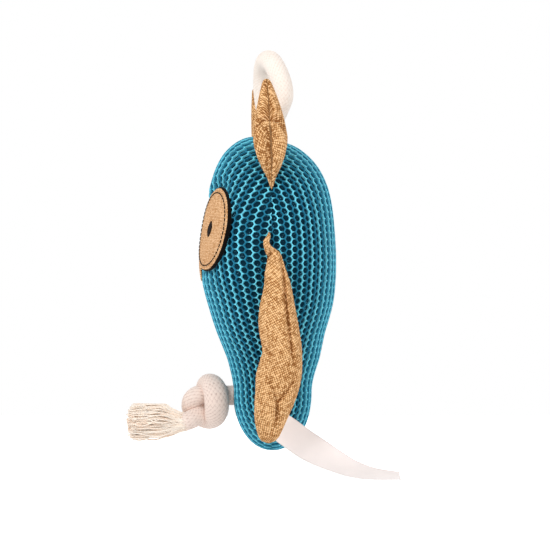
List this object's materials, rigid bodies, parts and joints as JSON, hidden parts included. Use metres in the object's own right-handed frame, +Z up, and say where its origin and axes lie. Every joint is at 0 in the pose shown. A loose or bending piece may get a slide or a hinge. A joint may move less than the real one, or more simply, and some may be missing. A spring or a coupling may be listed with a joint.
{
  "type": "rope owl dog toy",
  "caption": "Stuffed owl tug toy with a honeycomb mesh body, burlap ears, wings and face, a cotton rope loop on its head, a knotted rope foot and a bare ribbon label.",
  "frame": {"origin": "the inside top of the rope loop, where a hook or finger that holds the toy up touches it", "axes": "+Z up with the toy hanging by its loop, -Y the way the owl faces, +X the owl's own left"},
  "size_m": [0.1518, 0.1836, 0.3008],
  "materials": {
    "mesh_cloth": "matte",
    "lining_cloth": "matte",
    "wadding": "matte",
    "squeaker_vinyl": "satin",
    "black_felt": "matte",
    "burlap": "matte",
    "dark_thread": "matte",
    "cotton_rope": "matte",
    "satin_ribbon": "satin"
  },
  "bodies": {
    "torso": {"front_cover": "mesh_cloth", "back_cover": "mesh_cloth", "front_lining": "lining_cloth", "back_lining": "lining_cloth", "front_wadding": "wadding", "back_wadding": "wadding", "squeaker_bulb": "squeaker_vinyl", "squeaker_reed": "squeaker_vinyl", "left_eye_backing": "black_felt", "right_eye_backing": "black_felt", "left_eye_patch": "burlap", "right_eye_patch": "burlap", "left_eye_stitching": "dark_thread", "right_eye_stitching": "dark_thread", "left_pupil": "dark_thread", "right_pupil": "dark_thread", "beak": "burlap"},
    "loop": {"rope_loop": "cotton_rope"},
    "left_ear": {"left_ear_front": "burlap", "left_ear_back": "burlap", "left_ear_wadding": "wadding"},
    "right_ear": {"right_ear_front": "burlap", "right_ear_back": "burlap", "right_ear_wadding": "wadding"},
    "left_wing": {"left_wing_outer": "burlap", "left_wing_inner": "burlap", "left_wing_wadding": "wadding"},
    "right_wing": {"right_wing_outer": "burlap", "right_wing_inner": "burlap", "right_wing_wadding": "wadding"},
    "foot": {"rope_foot": "cotton_rope", "frayed_end": "cotton_rope"},
    "label": {"seam_label": "satin_ribbon"}
  },
  "joints": [
    {"name": "loop_fold", "type": "hinge", "parent": "torso", "child": "loop", "pos_m": [0, 0.0024, -0.044], "axis": [1, 0, 0], "range_deg": [-55, 55], "stiffness_Nm_per_rad": 0.05},
    {"name": "left_ear_bend", "type": "hinge", "parent": "torso", "child": "left_ear", "pos_m": [0.04879, 0.0024, -0.06893], "axis": [-0.6312, 0, 0.7756], "range_deg": [-30, 30], "stiffness_Nm_per_rad": 0.04},
    {"name": "right_ear_bend", "type": "hinge", "parent": "torso", "child": "right_ear", "pos_m": [-0.04879, 0.0024, -0.06893], "axis": [0.6312, 0, 0.7756], "range_deg": [-36, 24], "stiffness_Nm_per_rad": 0.04},
    {"name": "left_wing_lift", "type": "hinge", "parent": "torso", "child": "left_wing", "pos_m": [0.06505, 0.0024, -0.11743], "axis": [0, -1, 0], "range_deg": [0, 115]},
    {"name": "right_wing_lift", "type": "hinge", "parent": "torso", "child": "right_wing", "pos_m": [-0.06505, 0.0024, -0.11743], "axis": [0, 1, 0], "range_deg": [0, 115]},
    {"name": "foot_swing", "type": "hinge", "parent": "torso", "child": "foot", "pos_m": [0, -0.03108, -0.22743], "axis": [1, 0, 0], "range_deg": [-30, 24], "stiffness_Nm_per_rad": 0.15, "springref_deg": -0.92},
    {"name": "label_swing", "type": "hinge", "parent": "torso", "child": "label", "pos_m": [0.0325, 0.0024, -0.24443], "axis": [0.4438, 0, 0.8961], "range_deg": [-55, 12], "stiffness_Nm_per_rad": 0.002}
  ]
}
